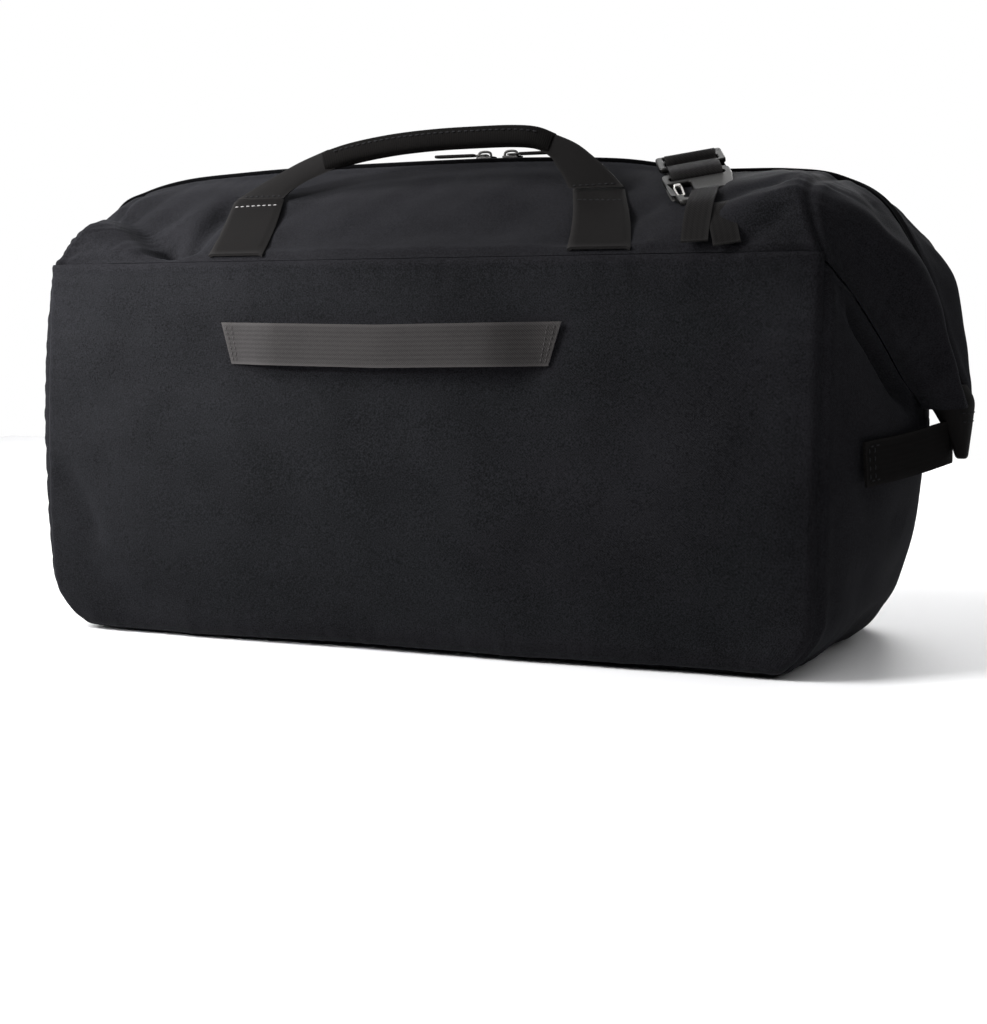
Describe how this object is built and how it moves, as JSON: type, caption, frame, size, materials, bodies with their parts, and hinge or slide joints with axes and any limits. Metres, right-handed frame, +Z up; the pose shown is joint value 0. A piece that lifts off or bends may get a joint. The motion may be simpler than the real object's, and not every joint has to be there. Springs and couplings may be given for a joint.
{
  "type": "weekender bag",
  "caption": "Soft weekender bag with zipped top flaps, overhanging wing ends, grab handles, a trolley strap and a hook-on shoulder strap.",
  "frame": {"origin": "middle of the base, on the surface that the bag stands on", "axes": "+X along the bag's length, +Y from the back panel with the trolley strap to the front panel, +Z up"},
  "size_m": [0.616, 0.2771, 0.3155],
  "materials": {
    "body_fabric": "fine woven polyester, slightly speckled",
    "lining_fabric": "smooth woven nylon lining",
    "stiffener": "matt polyethylene board",
    "webbing": "flat twill webbing",
    "coated_trim": "smooth coated synthetic leather, matt",
    "zip_tape": "satin coated zip tape with coil teeth",
    "dark_metal": "anthracite electroplated zinc, satin",
    "nickel_wire": "bright nickel-plated wire"
  },
  "bodies": {
    "shell": {"back_panel": "body_fabric", "front_panel": "body_fabric", "base_panel": "body_fabric", "left_end_panel": "body_fabric", "right_end_panel": "body_fabric", "left_wing_back": "body_fabric", "left_wing_front": "body_fabric", "right_wing_back": "body_fabric", "right_wing_front": "body_fabric", "left_wing_gusset": "body_fabric", "right_wing_gusset": "body_fabric", "left_wing_tab": "coated_trim", "right_wing_tab": "coated_trim", "left_end_strap": "webbing", "right_end_strap": "webbing", "left_closed_zip": "zip_tape", "right_closed_zip": "zip_tape", "lining": "lining_fabric", "base_board": "stiffener", "inner_pocket": "lining_fabric", "trolley_strap": "webbing", "back_strap_loop": "webbing", "back_hook_webbing": "webbing", "shoulder_strap": "webbing", "front_strap_loop": "webbing"},
    "back_flap": {"back_shoulder": "body_fabric", "back_zip_tape": "zip_tape", "back_zip_teeth": "zip_tape", "back_left_anchor": "coated_trim", "back_right_anchor": "coated_trim"},
    "front_flap": {"front_shoulder": "body_fabric", "front_zip_tape": "zip_tape", "front_zip_teeth": "zip_tape", "front_left_anchor": "coated_trim", "front_right_anchor": "coated_trim"},
    "back_handle": {"back_handle_legs": "webbing", "back_handle_grip": "webbing"},
    "front_handle": {"front_handle_legs": "webbing", "front_handle_grip": "webbing"},
    "left_slider": {"left_zip_slider": "dark_metal"},
    "left_pull": {"left_zip_pull": "coated_trim"},
    "right_slider": {"right_zip_slider": "dark_metal"},
    "right_pull": {"right_zip_pull": "coated_trim"},
    "back_hook_body": {"back_hook": "dark_metal"},
    "back_gate": {"back_hook_gate": "nickel_wire"},
    "adjuster": {"strap_adjuster": "dark_metal"},
    "front_hook_body": {"front_hook": "dark_metal"},
    "front_gate": {"front_hook_gate": "nickel_wire"}
  },
  "joints": [
    {"name": "back_flap_open", "type": "hinge", "parent": "shell", "child": "back_flap", "pos_m": [0, -0.11, 0.236], "axis": [1, 0, 0], "range_deg": [0, 40]},
    {"name": "front_flap_open", "type": "hinge", "parent": "shell", "child": "front_flap", "pos_m": [0, 0.11, 0.236], "axis": [-1, 0, 0], "range_deg": [0, 40]},
    {"name": "left_slider_run", "type": "slide", "parent": "back_flap", "child": "left_slider", "axis": [-1, 0, 0], "range_m": [0, 0.158]},
    {"name": "right_slider_run", "type": "slide", "parent": "back_flap", "child": "right_slider", "axis": [1, 0, 0], "range_m": [0, 0.024]},
    {"name": "left_pull_flip", "type": "hinge", "parent": "left_slider", "child": "left_pull", "pos_m": [0.008, -0.0025, 0.3006], "axis": [0, 1, 0], "range_deg": [0, 100]},
    {"name": "right_pull_flip", "type": "hinge", "parent": "right_slider", "child": "right_pull", "pos_m": [0.026, -0.0025, 0.3006], "axis": [0, -1, 0], "range_deg": [0, 100]},
    {"name": "back_handle_fold", "type": "hinge", "parent": "back_flap", "child": "back_handle", "pos_m": [-0.013, -0.0517, 0.2758], "axis": [1, 0, 0], "range_deg": [0, 96]},
    {"name": "front_handle_raise", "type": "hinge", "parent": "front_flap", "child": "front_handle", "pos_m": [-0.012, 0.0517, 0.2758], "axis": [1, 0, 0], "range_deg": [0, 96]},
    {"name": "back_hook_swivel", "type": "hinge", "parent": "shell", "child": "back_hook_body", "pos_m": [0.17524, -0.07466, 0.26671], "axis": [0.9135, 0.369, 0.1711], "range_deg": [0, 15]},
    {"name": "back_gate_press", "type": "hinge", "parent": "back_hook_body", "child": "back_gate", "pos_m": [0.15258, -0.0575, 0.27467], "axis": [0, -0.4206, 0.9072], "range_deg": [0, 15], "stiffness_Nm_per_rad": 0.02},
    {"name": "adjuster_slide", "type": "slide", "parent": "shell", "child": "adjuster", "axis": [-0.4067, 0.8288, 0.3843], "range_m": [0, 0.006]},
    {"name": "front_hook_swivel", "type": "hinge", "parent": "shell", "child": "front_hook_body", "pos_m": [-0.19, 0.1154, 0.2085], "axis": [1, 0, 0], "range_deg": [0, 30]},
    {"name": "front_gate_press", "type": "hinge", "parent": "front_hook_body", "child": "front_gate", "pos_m": [-0.203, 0.1154, 0.182], "axis": [0, 1, 0], "range_deg": [0, 15], "stiffness_Nm_per_rad": 0.02}
  ],
  "couplings": [
    {"joint": "front_flap_open", "follows": "back_flap_open", "ratio": 1},
    {"joint": "left_slider_run", "follows": "back_flap_open", "m_per_rad": 0.22632},
    {"joint": "right_slider_run", "follows": "back_flap_open", "m_per_rad": 0.034377}
  ]
}
